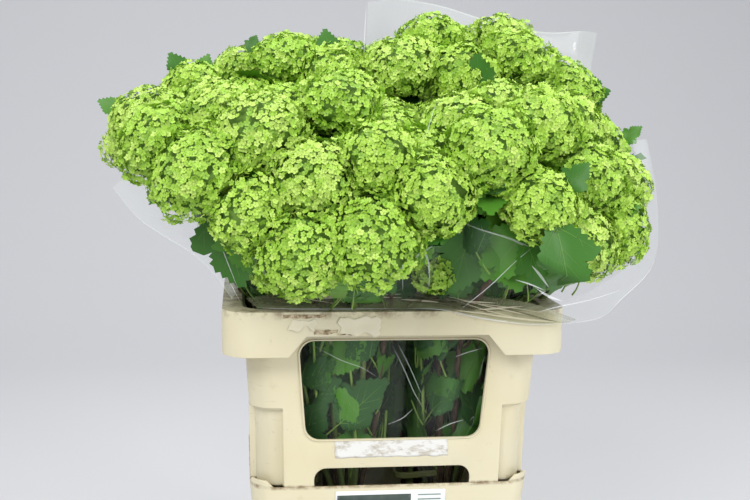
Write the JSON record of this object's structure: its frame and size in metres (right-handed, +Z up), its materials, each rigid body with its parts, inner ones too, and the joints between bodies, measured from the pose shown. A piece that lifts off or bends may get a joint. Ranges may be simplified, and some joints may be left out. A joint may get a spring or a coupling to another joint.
{
  "type": "cut snowball viburnum stems in a flower container",
  "caption": "Bunches of cut viburnum stems with round lime flower heads and lobed leaves, in clear sleeves, standing in a cream plastic bucket with a windowed collar.",
  "frame": {"origin": "middle of the bucket's flat underside", "axes": "+Z up, -Y towards the side with the lower flower heads, +X to its right"},
  "size_m": [0.6427, 0.5418, 0.8012],
  "materials": {
    "cream_plastic": "moulded, worn and scuffed",
    "clear_film": "clear and glossy",
    "woody_stem": "bark",
    "blossom": "soft petals"
  },
  "bodies": {
    "root": {"blossom_back_left_01": "blossom", "blossom_back_left_02": "blossom", "blossom_back_left_03": "blossom", "blossom_back_left_04": "blossom", "blossom_back_left_05": "blossom", "blossom_back_left_06": "blossom", "blossom_back_left_07": "blossom", "blossom_back_left_08": "blossom", "blossom_back_right_01": "blossom", "blossom_back_right_02": "blossom", "blossom_back_right_03": "blossom", "blossom_back_right_04": "blossom", "blossom_back_right_05": "blossom", "blossom_back_right_06": "blossom", "blossom_back_right_07": "blossom", "blossom_back_right_08": "blossom", "blossom_back_right_09": "blossom", "blossom_back_right_10": "blossom", "blossom_back_right_11": "blossom", "blossom_front_left_01": "blossom", "blossom_front_left_02": "blossom", "blossom_front_left_03": "blossom", "blossom_front_left_04": "blossom", "blossom_front_left_05": "blossom", "blossom_front_left_06": "blossom", "blossom_front_left_07": "blossom", "blossom_front_left_08": "blossom", "blossom_front_left_09": "blossom", "blossom_front_left_10": "blossom", "blossom_front_left_11": "blossom", "blossom_front_left_12": "blossom", "blossom_front_left_13": "blossom", "blossom_front_right_01": "blossom", "blossom_front_right_02": "blossom", "blossom_front_right_03": "blossom", "blossom_front_right_04": "blossom", "blossom_front_right_05": "blossom", "blossom_front_right_06": "blossom", "blossom_front_right_07": "blossom", "blossom_front_right_08": "blossom", "blossom_front_right_09": "blossom", "blossom_front_right_10": "blossom", "blossom_left_01": "blossom", "blossom_left_02": "blossom", "blossom_left_03": "blossom", "blossom_left_04": "blossom", "blossom_left_05": "blossom", "blossom_left_06": "blossom", "bucket": "cream_plastic", "collar": "cream_plastic", "film_sleeve_back_left": "clear_film", "film_sleeve_back_right": "clear_film", "film_sleeve_front_left": "clear_film", "film_sleeve_front_right": "clear_film", "film_sleeve_left": "clear_film", "stems_back_left": "woody_stem", "stems_back_right": "woody_stem", "stems_front_left": "woody_stem", "stems_front_right": "woody_stem", "stems_left": "woody_stem"}
  },
  "joints": []
}
